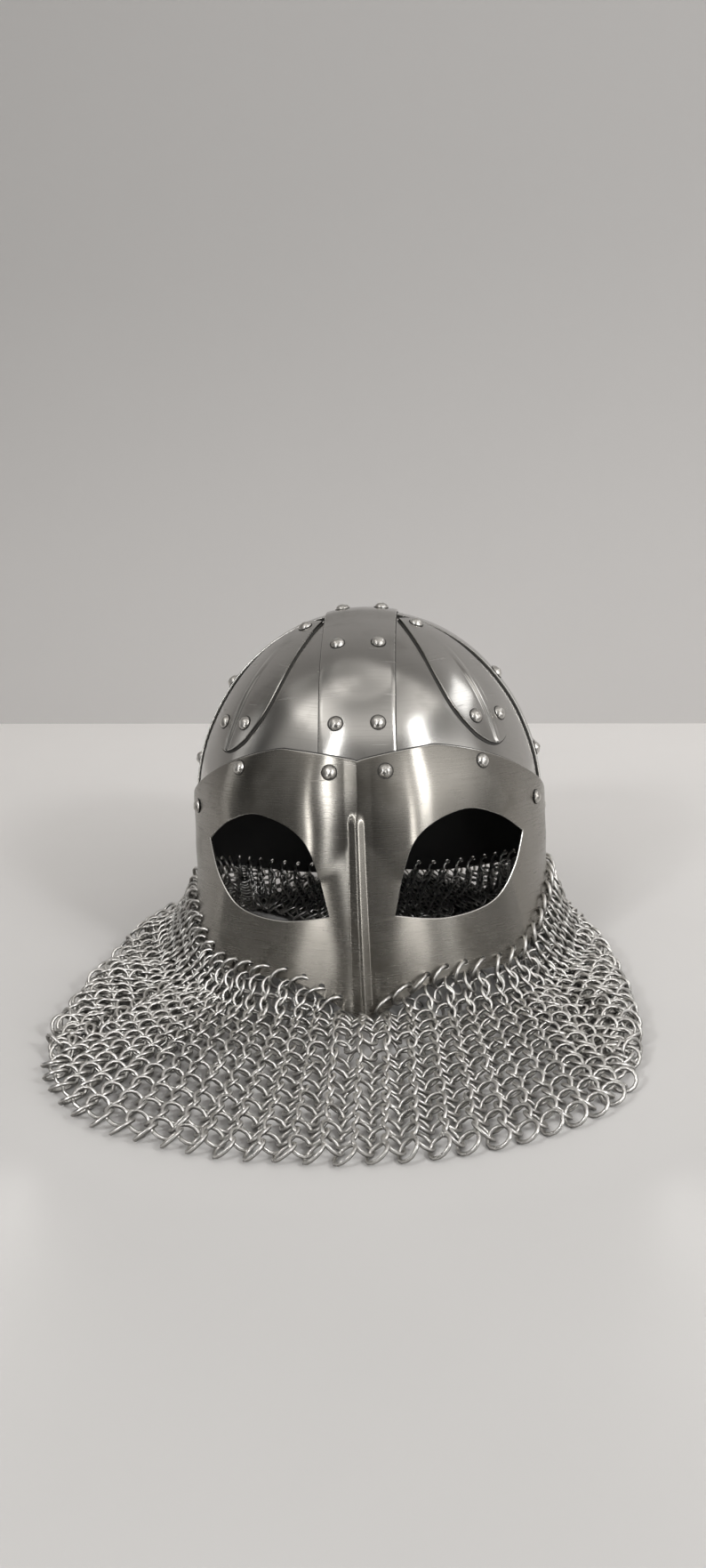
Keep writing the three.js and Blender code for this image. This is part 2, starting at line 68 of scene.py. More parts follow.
DENTS, DENT_RISE, DENT_SPANS = 14, 0.035, (24, 70)
TURN_STEP, SPAN_STEP = 0.004, 0.4  # half steps in radians and millimetres, for a form's normal
DEGREE = 1.85  # flat millimetres for a degree of turn on a cut sheet
SIDES = (("left", 1), ("right", -1))
LEAVES = (
    ("front_left", LEAF_TURN), ("rear_left", 180 - LEAF_TURN),
    ("rear_right", LEAF_TURN - 180), ("front_right", -LEAF_TURN))
# The lids of the left eye opening, as turn and height.
UPPER_LID = [(58, -12), (45, 0.5), (31, 5.5), (16, -8), (9.2, -47)]
LOWER_LID = [(9.2, -47), (24, -51), (41, -46), (52, -30), (58, -12)]

chance = np.random.default_rng(41)
one = np.ones(1)


def lerp(a, b, t):
    return a + (b - a) * t


def ease(x, a, b):
    t = np.clip((x - a) / (b - a), 0, 1)
    return t * t * (3 - 2 * t)


def unit(v):
    return v / np.linalg.norm(v, axis=-1, keepdims=True)


# The forms of the bowl and of what lies on it.

def on_bowl(turn, level):
    s, c = np.sin(turn), np.cos(turn)
    climb = np.maximum(level, 0) / BOWL_TALL
    low = np.minimum(level, 0)
    side = BOWL_WIDE * np.cos(climb) + SIDE_FLARE * (low / SIDE_DROP) ** 2
    ahead = BOWL_FRONT * np.cos(climb) - FACE_TUCK * (low / FACE_DROP) ** 2
    behind = BOWL_BACK * np.cos(climb) + NAPE_FLARE * (low / NAPE_DROP) ** 2
    depth = np.where(c > 0, ahead, behind)
    return np.stack([side * s, -depth * c, BOWL_TALL * np.sin(climb) + low], -1)


def level_at(height):
    over = BOWL_TALL * np.arcsin(np.clip(height / BOWL_TALL, -1, 1))
    return np.where(height > 0, over, height)


def outward(form, u, v, du, dv):
    return unit(np.cross(form(u + du, v) - form(u - du, v), form(u, v + dv) - form(u, v - dv)))


DENT_WAYS = chance.normal(size=(DENTS, 3))
DENT_STEPS = chance.uniform(*DENT_SPANS, (DENTS, 1))
DENT_WAYS *= (2 * math.pi / DENT_STEPS) / np.linalg.norm(DENT_WAYS, axis=1, keepdims=True)
DENT_STARTS = chance.uniform(0, 2 * math.pi, DENTS)


def dents(point):
    return DENT_RISE * np.sin(point @ DENT_WAYS.T + DENT_STARTS).sum(-1)


def formed(turn, level, lift):
    point = on_bowl(turn, level)
    out = outward(on_bowl, turn, level, TURN_STEP, SPAN_STEP)
    return point + out * (lift + dents(point))[..., None]


def on_long_band(across, climb):
    k = np.sqrt(1 - (across / BOWL_WIDE) ** 2)
    reach = np.where(np.cos(climb) > 0, BOWL_FRONT, BOWL_BACK)
    return np.stack([across, -reach * k * np.cos(climb), BOWL_TALL * k * np.sin(climb)], -1)


def on_cross_band(across, climb):
    k = np.sqrt(1 - (across / np.where(across < 0, BOWL_FRONT, BOWL_BACK)) ** 2)
    below = np.minimum(np.minimum(climb, math.pi - climb), 0) * BOWL_TALL
    arc = np.clip(climb, 0, math.pi)
    side = BOWL_WIDE + SIDE_FLARE * (below / SIDE_DROP) ** 2
    high = BOWL_TALL * np.where(below < 0, 0, k * np.sin(arc)) + below
    return np.stack([side * k * np.cos(arc), across, high], -1)


def on_band(form, across, climb, lift):
    point = form(across, climb)
    n = outward(form, across, climb, SPAN_STEP, TURN_STEP)
    n *= np.sign((n * point).sum(-1, keepdims=True))
    return point + n * (lift + dents(point))[..., None]


def long_band_lift(climb):
    """The long strap rises where it passes over the cross strap."""
    away = np.abs(np.cos(climb)) * BOWL_FRONT
    return OVERLAY * (1 - ease(away, CROSS_HALF + 3, CROSS_HALF + 18))


def leaf_half(along):
    low = 1 - np.clip(1 - along / LEAF_WIDEST, 0, 1) ** 2
    high = np.clip((along - LEAF_WIDEST) / (1 - LEAF_WIDEST), 0, 1)
    return LEAF_HALF * np.where(along < LEAF_WIDEST, low ** LEAF_ROUND, 1 - LEAF_TAPER * high ** 1.7)


def leaf_foot(across):
    """How far up the rounded foot of a leaf its edge is, at a place across it."""
    return LEAF_WIDEST * (1 - np.sqrt(1 - (np.abs(across) / LEAF_HALF) ** (1 / LEAF_ROUND)))


def leaf_flat(u, v, spare):
    """Lays a grid out as a leaf: its first row follows the rounded foot, the others run level."""
    side = 2 * u - 1
    foot = leaf_foot(LEAF_FOOT_HALF)
    edge = lerp(foot, 1, v ** 1.4)
    along = edge - (foot - leaf_foot(side * LEAF_FOOT_HALF)) * (1 - v) ** 3
    return side * (leaf_half(edge) + spare), along * LEAF_LONG - spare * (1 - v) ** 8


def on_leaf(turn, along, across, lift):
    climb, middle = np.radians(lerp(LEAF_TIP, LEAF_TOP, along)), np.radians(turn)
    level = np.cos(climb)
    way = np.stack([level * np.sin(middle), -level * np.cos(middle), np.sin(climb)], -1)
    aside = np.array([math.cos(middle), math.sin(middle), 0])
    way = unit(way + aside * (across / BOWL_FRONT)[..., None])
    angle = np.arctan2(way[..., 0], -way[..., 1])
    return formed(angle, np.arcsin(way[..., 2]) * BOWL_TALL, lift)


def from_nose(turn):
    """Degrees of turn away from the nose, to either side."""
    return np.abs((np.asarray(turn, float) + 180) % 360 - 180)


def brow_height(turn):
    t = from_nose(turn)
    aside = (t - BROW_PEAK_TURN) / (90 - BROW_PEAK_TURN)
    near = lerp(BROW_NOSE, BROW_PEAK, np.clip(t / BROW_PEAK_TURN, 0, 1) ** 0.7)
    temple = lerp(BROW_PEAK, BROW_EAR, np.clip(aside, 0, 1) ** 1.5)
    behind = lerp(BROW_EAR, BROW_NAPE, ease(t, 90, 150))
    return np.where(t < BROW_PEAK_TURN, near, np.where(t <= 90, temple, behind))


def rim_height(turn):
    t = from_nose(turn)
    nose = -RIM_NOSE_DROP * np.clip(1 - t / RIM_NOSE_TURN, 0, 1) ** 1.6
    face = lerp(RIM_CHEEK, RIM_EAR, ease(t, 40, 90)) + nose
    return np.where(t > 90, lerp(RIM_EAR, RIM_NAPE, ease(t, 100, 165)), face)


def plate_lift(turn, height, point):
    """How far the two lower plates stand off the bowl, over the straps and along the nose."""
    over = lambda away, half: 1 - ease(away, half + 2, half + 34)
    across = np.abs(point[..., 0])
    strap = np.maximum(over(across, LONG_HALF), over(np.abs(point[..., 1]), CROSS_HALF))
    step = OVERLAY * strap * ease(height, -40, -20)
    keel = KEEL * np.exp(-((across / KEEL_HALF) ** 2)) * (1 - ease(height, -80, 38))
    down = ease(height, RIDGE_TOP, RIDGE_FOOT)
    half = lerp(*RIDGE_HALVES, down)
    end = np.hypot(point[..., 0] + RIDGE_ASIDE, np.maximum(0, height - RIDGE_TOP + half)) / half
    # A tent across the ridge, with a top rounded by a tenth of its half width.
    tent = np.clip(1 - (np.sqrt(end ** 2 + 0.01) - 0.1) / 0.905, 0, 1)
    ridge = lerp(*RIDGE_RISES, down) * tent
    crease = CREASE * np.clip(1 - across / CREASE_HALF, 0, 1) ** 1.3
    return GAP + np.where(from_nose(turn) <= 90, np.maximum(step, keel) + ridge + crease, step)


def on_plate(turn, height, lift):
    angle, level = np.radians(turn), level_at(height)
    return formed(angle, level, plate_lift(turn, height, on_bowl(angle, level)) + lift)


def into_place(points):
    """Leans the helmet back, sets it over its footprint and turns millimetres into metres."""
    c, s = math.cos(LEAN), math.sin(LEAN)
    x, y, z = points[..., 0], points[..., 1], points[..., 2]
    ahead, high = y * c + z * s + FOOTPRINT_SHIFT[1], BOWL_CENTRE - y * s + z * c
    return np.stack([x + FOOTPRINT_SHIFT[0], ahead, high], -1) / 1000


def leaned_plate(turn, height, lift):
    """A place on the leaning plates, in millimetres from the middle of the helmet's own plan."""
    return into_place(on_plate(turn, height, lift)) * 1000 - (*FOOTPRINT_SHIFT, 0)


# Finishes. Tone wraps one value of a finish's nodes, so that sums are written as they read.

class Tone:
    def __init__(self, finish, socket):
        self.finish, self.socket = finish, socket

    def sum(self, operation, first, second):
        return self.finish.value("ShaderNodeMath", {"operation": operation}, {0: first, 1: second})

    def __add__(self, other): return self.sum("ADD", self, other)
    def __radd__(self, other): return self.sum("ADD", other, self)
    def __sub__(self, other): return self.sum("SUBTRACT", self, other)
    def __rsub__(self, other): return self.sum("SUBTRACT", other, self)
    def __mul__(self, other): return self.sum("MULTIPLY", self, other)


class Finish:
    def __init__(self, owner):
        self.material = owner
        self.material.use_nodes = True
        self.tree = self.material.node_tree
        self.surface = self.tree.nodes.get("Principled BSDF")

    def node(self, kind, settings=None, sockets=None):
        made = self.tree.nodes.new(kind)
        for key, value in (settings or {}).items():
            if key == "stops":
                ramp = made.color_ramp.elements
                while len(ramp) < len(value):
                    ramp.new(0.5)
                for stop, (place, tone) in zip(ramp, value):
                    stop.position, stop.color = place, (*tone, 1)
            else:
                setattr(made, key, value)
        for key, value in (sockets or {}).items():
            self.feed(made.inputs[key], value)
        return made

    def feed(self, socket, value):
        if isinstance(value, Tone):
            value = value.socket
        if isinstance(value, bpy.types.NodeSocket):
            self.tree.links.new(value, socket)
        else:
            socket.default_value = value

    def paint(self, sockets):
        """Sets values of the surface, or links them to other nodes."""
        for key, value in sockets.items():
            self.feed(self.surface.inputs[key], value)
        return self

    def value(self, kind, settings, sockets, output=0):
        return Tone(self, self.node(kind, settings, sockets).outputs[output])

    def place(self, kind, scale=(1, 1, 1)):
        """Object coordinates, or a map of the piece's own, stretched by a scale."""
        if kind == "Object":
            source = self.node("ShaderNodeTexCoord").outputs["Object"]
        else:
            source = self.node("ShaderNodeUVMap", {"uv_map": kind}).outputs["UV"]
        stretched = self.node("ShaderNodeMapping", None, {"Vector": source, "Scale": scale})
        return stretched.outputs["Vector"]

    def cloud(self, vector, scale, detail=3.0, roughness=0.55):
        sockets = {"Vector": vector, "Scale": scale, "Detail": detail, "Roughness": roughness}
        return self.value("ShaderNodeTexNoise", None, sockets, "Fac")

    def between(self, value, low, high):
        """Runs smoothly from 0 at low to 1 at high."""
        return self.value(
            "ShaderNodeMapRange", {"clamp": True, "interpolation_type": "SMOOTHSTEP"},
            {"Value": value, "From Min": low, "From Max": high, "To Min": 0.0, "To Max": 1.0},
            "Result")

    def blend(self, share, first, second):
        sockets = {"Factor": share, 6: first, 7: second}
        return self.node("ShaderNodeMix", {"data_type": "RGBA"}, sockets).outputs[2]

    def parts(self, vector):
        split = self.node("ShaderNodeSeparateXYZ", None, {0: vector})
        return [Tone(self, split.outputs[i]) for i in range(3)]

    def relief(self, strength, distance, height):
        sockets = {"Strength": strength, "Distance": distance, "Height": height}
        return self.node("ShaderNodeBump", None, sockets).outputs["Normal"]

    def bearing(self, east, north):
        """The share of a full turn, with a half straight ahead of the mask."""
        turn = self.value("ShaderNodeMath", {"operation": "ARCTAN2"}, {0: east, 1: 0 - north})
        return turn * (0.5 / math.pi) + 0.5

    def bands(self, place, tones):
        """Slightly warm greys, given as pairs of place and brightness."""
        stops = [(p, (v, v * 0.985, v * 0.965)) for p, v in tones]
        return self.node("ShaderNodeValToRGB", {"stops": stops}, {"Fac": place}).outputs["Color"]


def brushed_steel(name, pale, stained, gloss, brush, drawn):
    """Sheet steel brushed along its map, smudged and lightly scratched. Drawn stretches its glints."""
    finish = Finish(bpy.data.materials.new(name))
    air = finish.place("Object")
    streaks = finish.cloud(finish.place("sheet", (0.35, 22, 1)), brush, 4, 0.7)
    cross_streaks = finish.cloud(finish.place("sheet", (16, 0.5, 1)), brush * 0.55, 4, 0.7)
    smudge = finish.cloud(air, 26, 4, 0.6)
    grain = finish.cloud(air, 900, 2, 0.6)
    scratch = finish.cloud(finish.place("sheet", (0.7, 9, 1)), 3.1, 2, 0.5)
    scratch = finish.between(scratch, 0.685, 0.70)
    stain = finish.between(smudge, 0.50, 0.78) * 0.75 + finish.between(streaks, 0.45, 0.8) * 0.25
    rough = gloss + (streaks - 0.5) * 0.12 + (cross_streaks - 0.5) * 0.03
    rough = rough + (smudge - 0.5) * 0.12 + scratch * 0.1
    height = (streaks - 0.5) * 0.55 + (cross_streaks - 0.5) * 0.1
    height = height + (grain - 0.5) * 0.04 - scratch * 0.5
    return finish.paint({
        "Base Color": finish.blend(stain, (*pale, 1), (*stained, 1)),
        "Roughness": rough, "Metallic": 1.0,
        "Anisotropic": drawn, "Anisotropic Rotation": 0.25,
        "Normal": finish.relief(0.12, 0.00012, height)}).material


def blackened_inside():
    finish = Finish(bpy.data.materials.new("blackened_inside"))
    soot = finish.cloud(finish.place("Object"), 60, 4, 0.6)
    return finish.paint({
        "Base Color": finish.blend(soot, (0.012, 0.012, 0.013, 1), (0.035, 0.034, 0.033, 1)),
        "Roughness": 0.42 + soot * 0.3, "Metallic": 0.0}).material


def wire_steel():
    """Wire painted bright where it faces up and dark below: a painted highlight on top and painted
    shade underneath.
    """
    finish = Finish(bpy.data.materials.new("mail_wire"))
    patch = finish.cloud(finish.place("Object"), 42, 4, 0.62)
    grain = finish.cloud(finish.place("Object"), 700, 3, 0.6)
    upward = finish.parts(finish.place("wear"))[0]
    # Painted light and shade: lighter where the wire faces up, darker where it faces down.
    top_light = finish.between(upward + (patch - 0.5) * 0.3, 0.34, 0.80)
    bright = finish.blend(
        finish.between(patch, 0.38, 0.72), (0.98, 0.965, 0.935, 1), (0.74, 0.725, 0.695, 1))
    return finish.paint({
        "Base Color": finish.blend(top_light, (0.22, 0.213, 0.20, 1), bright),
        "Roughness": 0.17 + patch * 0.16 + grain * 0.1, "Metallic": 1.0,
        "Normal": finish.relief(0.25, 0.0001, grain)}).material


def rivet_steel():
    finish = Finish(bpy.data.materials.new("rivet_heads"))
    patch = finish.cloud(finish.place("Object"), 160, 4, 0.6)
    worn = finish.between(patch, 0.42, 0.72)
    return finish.paint({
        "Base Color": finish.blend(worn, (0.66, 0.645, 0.615, 1), (0.42, 0.40, 0.37, 1)),
        "Roughness": 0.2 + patch * 0.2, "Metallic": 1.0,
        "Normal": finish.relief(0.3, 0.0002, finish.cloud(finish.place("Object"), 420, 3))}).material


def seam_shadow_and_grime():
    # Near-black fill for the seams: painted shadow in the gaps beside the raised plates, with some
    # grime.
    finish = Finish(bpy.data.materials.new("seam_shadow_and_grime"))
    patch = finish.cloud(finish.place("Object"), 220, 4, 0.6)
    return finish.paint({
        "Base Color": finish.blend(patch, (0.010, 0.010, 0.010, 1), (0.045, 0.042, 0.038, 1)),
        "Roughness": 0.6 + patch * 0.25}).material


SEAM_SHADOW_AND_GRIME = seam_shadow_and_grime()
PANEL_STEEL = brushed_steel("panel_steel", (0.48, 0.47, 0.45), (0.27, 0.26, 0.24), 0.20, 5.0, 0.3)
STRAP_STEEL = brushed_steel("strap_steel", (0.50, 0.49, 0.47), (0.29, 0.28, 0.26), 0.19, 6.0, 0.3)
# Paler steel on the rounded upper edges: wear, and a painted highlight line.
EDGE_WEAR_AND_HIGHLIGHT = brushed_steel("edge_wear_and_highlight", (0.66, 0.65, 0.62), (0.40, 0.39, 0.36), 0.26, 5.0, 0.0)
# The mask's steel is darker than the other plates: partly a darker finish, partly painted shade for
# the dark reflections on the mask.
MASK_STEEL = brushed_steel(
    "mask_steel", (0.300, 0.286, 0.260), (0.166, 0.154, 0.132), 0.27, 6.0, 1.0)
INSIDE_BLACK = blackened_inside()
MAIL_WIRE = wire_steel()
RIVET_STEEL = rivet_steel()


# Workshop steps shared by the pieces.

def start_piece(name):
    piece = bpy.context.active_object
    piece.name = piece.data.name = name
    return piece


def points_of(piece):
    co = np.empty(len(piece.data.vertices) * 3)
    piece.data.vertices.foreach_get("co", co)
    return co.reshape(-1, 3)


def put_points(piece, points):
    flat = np.ascontiguousarray(points, dtype=np.float64).ravel()
    piece.data.vertices.foreach_set("co", flat)
    piece.data.update()


def select_only(*pieces):
    """Selects the pieces and makes the first one active."""
    bpy.ops.object.select_all(action="DESELECT")
    for piece in pieces:
        piece.select_set(True)
    bpy.context.view_layer.objects.active = pieces[0]


def smooth(piece, degrees):
    select_only(piece)
    bpy.ops.object.shade_smooth_by_angle(angle=math.radians(degrees))


def apply_modifier(piece, kind, **settings):
    select_only(piece)
    made = piece.modifiers.new(kind.lower(), kind)
    for key, value in settings.items():
        setattr(made, key, value)
    bpy.ops.object.modifier_apply(modifier=made.name)


def cut_sheet(name, columns, rows, flat, round_edge=0.4):
    """A flat blank: a grid laid out by flat(u, v), thickened upwards and rounded along its edges."""
    bpy.ops.mesh.primitive_grid_add(
        x_subdivisions=columns, y_subdivisions=rows, size=1, location=(0, 0, 0))
    blank = start_piece(name)
    grid = points_of(blank)
    x, y = flat(grid[:, 0] + 0.5, grid[:, 1] + 0.5)
    put_points(blank, np.stack([x, y, np.zeros_like(x)], 1))
    bpy.ops.object.mode_set(mode="EDIT")
    bpy.ops.mesh.select_all(action="SELECT")
    bpy.ops.mesh.extrude_region_move(TRANSFORM_OT_translate={"value": (0, 0, SHEET)})
    bpy.ops.mesh.select_all(action="SELECT")
    bpy.ops.mesh.normals_make_consistent(inside=False)
    bpy.ops.object.mode_set(mode="OBJECT")
    if round_edge:
        apply_modifier(
            blank, "BEVEL", width=round_edge, segments=2, limit_method="ANGLE",
            angle_limit=math.radians(60), use_clamp_overlap=True)
    return blank


def form_piece(blank, form, outside, slot, *nodes):
    """Forms a flat blank on the bowl, with its flat layout kept for the brushing.

    Its lower faces are blackened, and the rounded edges of its upper face are paler: wear, and a
    painted highlight along each edge.
    """
    mesh = blank.data
    flat = points_of(blank)
    ends = np.empty(len(mesh.loops), dtype=np.int32)
    mesh.loops.foreach_get("vertex_index", ends)
    while mesh.uv_layers:
        mesh.uv_layers.remove(mesh.uv_layers[0])
    layout = mesh.uv_layers.new(name="sheet")
    layout.data.foreach_set("uv", (flat[ends, :2] / 100).ravel().astype(np.float32))
    lean = np.array([face.normal.z for face in mesh.polygons])
    put_points(blank, into_place(form(flat[:, 0], flat[:, 1], flat[:, 2])))
    for finish in (outside, INSIDE_BLACK, SEAM_SHADOW_AND_GRIME if outside == SEAM_SHADOW_AND_GRIME else EDGE_WEAR_AND_HIGHLIGHT):
        mesh.materials.append(finish)
    # Faces tilted partly up are the rounded edges, painted paler as a highlight and as wear.
    worn = (lean > 0.1) & (lean < 0.94)
    finishes = np.where(lean < -0.5, 1, np.where(worn, 2, 0))
    mesh.polygons.foreach_set("material_index", finishes.astype(np.int32))
    smooth(blank, 38)
    finish_piece(blank, slot, *nodes)


def finish_piece(piece, slot, *nodes):
    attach(piece, "root")
    if nodes:
        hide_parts(*nodes)


# Four panels under the straps, each a quarter turn of the bowl.
PANEL_BLANK, PANEL_UNDER, PANEL_TOP, PANEL_SEAM = 160, 13, math.radians(84), 0.3


def panel_form(start):
    def form(x, y, z):
        u, v = x / PANEL_BLANK, y / PANEL_BLANK
        low = level_at(brow_height(start + 90 * u) - PANEL_UNDER)
        level = lerp(low, PANEL_TOP * BOWL_TALL, v)
        seam = PANEL_SEAM / (BOWL_WIDE * np.cos(np.maximum(0, level) / BOWL_TALL))
        turn = math.radians(start) + lerp(seam, math.pi / 2 - seam, u)
        return formed(turn, level, z - SHEET)
    return form


for name, start in (
        ("panel_front_left", 0), ("panel_rear_left", 90),
        ("panel_rear_right", 180), ("panel_front_right", 270)):
    square = lambda u, v: (u * PANEL_BLANK, v * PANEL_BLANK)
    blank = cut_sheet("formed_" + name, 44, 44, square, 0)
    form_piece(blank, panel_form(start), PANEL_STEEL, "panel", name)

# The two straps that cross at the crown, and the dark strips beside them that paint the shadow in the
# seams, with some grime.
CROWN_ENDS, CROSS_ENDS = (7, 177), (-9, 189)  # degrees of climb from one end to the other
CROWN_RUN, CROSS_RUN = math.radians(170) * BOWL_FRONT, math.radians(198) * BOWL_WIDE
STRAPS = (
    ("crown_band", on_long_band, LONG_HALF, 16, CROWN_ENDS, CROWN_RUN, long_band_lift),
    ("cross_band", on_cross_band, CROSS_HALF, 14, CROSS_ENDS, CROSS_RUN, lambda climb: 0))


def strap_form(form, ends, run, over, lift, thick):
    def strap(x, y, z):
        climb = np.radians(lerp(*ends, y / run))
        return on_band(form, x, climb, lift + z * thick + over(climb))
    return strap


for name, form, half, columns, ends, run, over in STRAPS:
    strip = lambda u, v: (lerp(-half, half, u), v * run)
    blank = cut_sheet("formed_" + name, columns, 150, strip)
    form_piece(blank, strap_form(form, ends, run, over, GAP, 1), STRAP_STEEL, "strap", name)
for name, form, half, _, ends, run, over in STRAPS:
    strip = lambda u, v: (lerp(-1, 1, u) * (half + STRAP_SEAM), v * run)
    blank = cut_sheet("seam_" + name, 8, 150, strip, 0)
    seam = strap_form(form, ends, run, over, SEAM_LIFT, SEAM_THICK)
    form_piece(blank, seam, SEAM_SHADOW_AND_GRIME, "strap")


# Leaf plates with a rib up the middle between two fine grooves, and a dark strip round them that
# paints the shadow in the seam, with some grime.

def leaf_form(turn):
    def form(x, y, z):
        along = y / LEAF_LONG
        foot = np.clip(0.34 * leaf_half(along), 0.5, 2.8)
        beside = np.exp(-(((np.abs(x) - foot - 0.6) / 0.7) ** 2))
        groove = LEAF_GROOVE * beside * ease(along, 0.05, 0.12)
        rib = LEAF_RIB * np.clip(1 - (x / foot) ** 2, 0, 1) ** 1.5 - groove
        return on_leaf(turn, along, x, GAP + z + rib * (1 - ease(along, 0.35, 0.72)))
    return form


for name, turn in LEAVES:
    blank = cut_sheet("formed_leaf_" + name, 60, 60, lambda u, v: leaf_flat(u, v, 0))
    form_piece(blank, leaf_form(turn), STRAP_STEEL, "strap", "leaf_" + name)
    blank = cut_sheet("seam_leaf_" + name, 20, 50, lambda u, v: leaf_flat(u, v, LEAF_SEAM), 0)
    seam = lambda x, y, z: on_leaf(turn, y / LEAF_LONG, x, SEAM_LIFT + z * SEAM_THICK)
    form_piece(blank, seam, SEAM_SHADOW_AND_GRIME, "strap")


# Eyelets sit at even steps along the rim of the two lower plates.

def lengths_along(points):
    """The length of a line of points from its start to each of them."""
    return np.concatenate([[0], np.cumsum(np.linalg.norm(np.diff(points, axis=0), axis=1))])


rim_turns = np.linspace(0, 180, 721)
rim_lengths = lengths_along(on_plate(rim_turns, rim_height(rim_turns), SHEET))
rim_shares = (np.arange(1, EYELETS // 2) + 0.5) / EYELETS
eyelet_turns = np.interp(2 * rim_shares * rim_lengths[-1], rim_lengths, rim_turns)
eyelet_turns = np.concatenate([-eyelet_turns[::-1], eyelet_turns])


def spline(knots, steps):
    """A smooth line through the knots, with a number of points from each to the next."""
    knots = np.array(knots, float)
    padded = np.vstack([knots[:1], knots, knots[-1:]])
    t = np.linspace(0, 1, steps, endpoint=False)[:, None]
    rows = []
    for i in range(len(knots) - 1):
        a, b, c, d = padded[i:i + 4]
        square, cube = 2 * a - 5 * b + 4 * c - d, 3 * b - 3 * c + d - a
        rows.append(0.5 * (2 * b + (c - a) * t + square * t * t + cube * t ** 3))
    return np.vstack(rows)


def punch(outline, lip):
    """A cutter with the given outline, that widens by the lip at the outer face of the sheet."""
    bpy.ops.mesh.primitive_circle_add(
        vertices=len(outline), radius=1, fill_type="NGON", location=(0, 0, 0))
    cutter = start_piece("punch")
    put_points(cutter, np.column_stack([outline, np.full(len(outline), -2.0)]))
    bpy.ops.object.mode_set(mode="EDIT")
    bpy.ops.mesh.select_all(action="SELECT")
    for _ in range(2):
        bpy.ops.mesh.extrude_region_move(TRANSFORM_OT_translate={"value": (0, 0, 1)})
    bpy.ops.mesh.select_all(action="SELECT")
    bpy.ops.mesh.normals_make_consistent(inside=False)
    bpy.ops.object.mode_set(mode="OBJECT")
    points = points_of(cutter)
    levels = np.round(points[:, 2]).astype(int)
    along = np.roll(outline, -1, 0) - np.roll(outline, 1, 0)
    out = unit(np.column_stack([along[:, 1], -along[:, 0]]))
    x, y = outline.T
    out *= np.sign((x * np.roll(y, -1) - y * np.roll(x, -1)).sum())
    nearest = np.argmin(((points[:, None, :2] - outline[None]) ** 2).sum(-1), axis=1)
    points[levels == -1, 2] = SHEET - lip
    top = levels == 0
    points[top, :2] += out[nearest[top]] * (lip * 2)
    points[top, 2] = SHEET + lip
    put_points(cutter, points)
    return cutter


def cut_openings(blank, cutters):
    select_only(*cutters)
    bpy.ops.object.join()
    apply_modifier(blank, "BOOLEAN", operation="DIFFERENCE", solver="EXACT", object=cutters[0])
    bpy.data.objects.remove(cutters[0])


def eyelet_punch(turn, centre):
    angle = np.linspace(0, 2 * math.pi, 12, endpoint=False)
    up = float(rim_height(turn)) + EYELET_UP + EYELET_RADIUS * np.sin(angle)
    across = centre * DEGREE + EYELET_RADIUS * np.cos(angle)
    return punch(np.column_stack([across, up]), EYELET_LIP)


def plate_flat(turns):
    def flat(u, v):
        turn = np.interp(u, np.linspace(0, 1, len(turns)), turns)
        return turn * DEGREE, lerp(rim_height(turn), brow_height(turn), v)
    return flat


def plate_form(x, y, z):
    return on_plate(x / DEGREE, y, z)


# The mask, whose columns stand closer along the ridge.
FINE_TURN = 4.2
half_turns = np.concatenate([
    np.linspace(0, FINE_TURN, 19)[:-1], np.linspace(FINE_TURN, MASK_END, 64)])
mask_turns = np.concatenate([-half_turns[:0:-1], half_turns])
mask_blank = cut_sheet("formed_mask_plate", len(mask_turns) - 1, 96, plate_flat(mask_turns))
eye = np.vstack([spline(UPPER_LID, 14), spline(LOWER_LID, 12)]) * (DEGREE, 1)
eye_punches = [punch(eye, EYE_LIP), punch(eye * (-1, 1), EYE_LIP)]
cut_openings(mask_blank, eye_punches + [eyelet_punch(t, t) for t in eyelet_turns if abs(t) < 90])
form_piece(mask_blank, plate_form, MASK_STEEL, "mask", "mask_plate")


def brow_seam_flat(u, v):
    turn = lerp(-180, 180, u)
    return turn * DEGREE, brow_height(turn) + lerp(-3, 0.75, v)


def brow_seam_form(x, y, z):
    return on_plate(x / DEGREE, y, z * SEAM_THICK - GAP + SEAM_LIFT)


# A dark strip just under the brow edge paints the shadow in that seam.
form_piece(cut_sheet("seam_brow", 240, 3, brow_seam_flat, 0), brow_seam_form, SEAM_SHADOW_AND_GRIME, "mask")

nape_turns = np.linspace(180 - MASK_END, 180 + MASK_END, 131)
nape_blank = cut_sheet("formed_nape_plate", len(nape_turns) - 1, 50, plate_flat(nape_turns))
cut_openings(nape_blank, [eyelet_punch(t, t % 360) for t in eyelet_turns if abs(t) > 90])
form_piece(nape_blank, plate_form, MASK_STEEL, "mask", "nape_plate")


# Rivets: one dome is turned and then copied to every seat.
CROWN_RIVET_ASIDE, CROSS_RIVET_ASIDE = 11, 10.5
CROWN_RIVETS = (  # row, climb
    ("brow", 28), ("front", 56.5), ("crown_front", 85),
    ("crown_rear", 95), ("rear", 123.5), ("nape", 152))
CROSS_RIVETS = (("low", 15), ("high", 41))  # row, climb
LEAF_RIVETS = (("front", 0.165, -11), ("rear", 0.165, 11), ("top", 0.91, 0))  # place, along, across
PLATE_RIVETS = (  # place, turn, height
    ("mask_nose", 8.2, 28), ("mask_temple", 41, 29.5), ("mask_ear", 69, 4),
    ("nape_ear", 96, -8), ("nape_side", 138, 3), ("nape_middle", 172, 5))

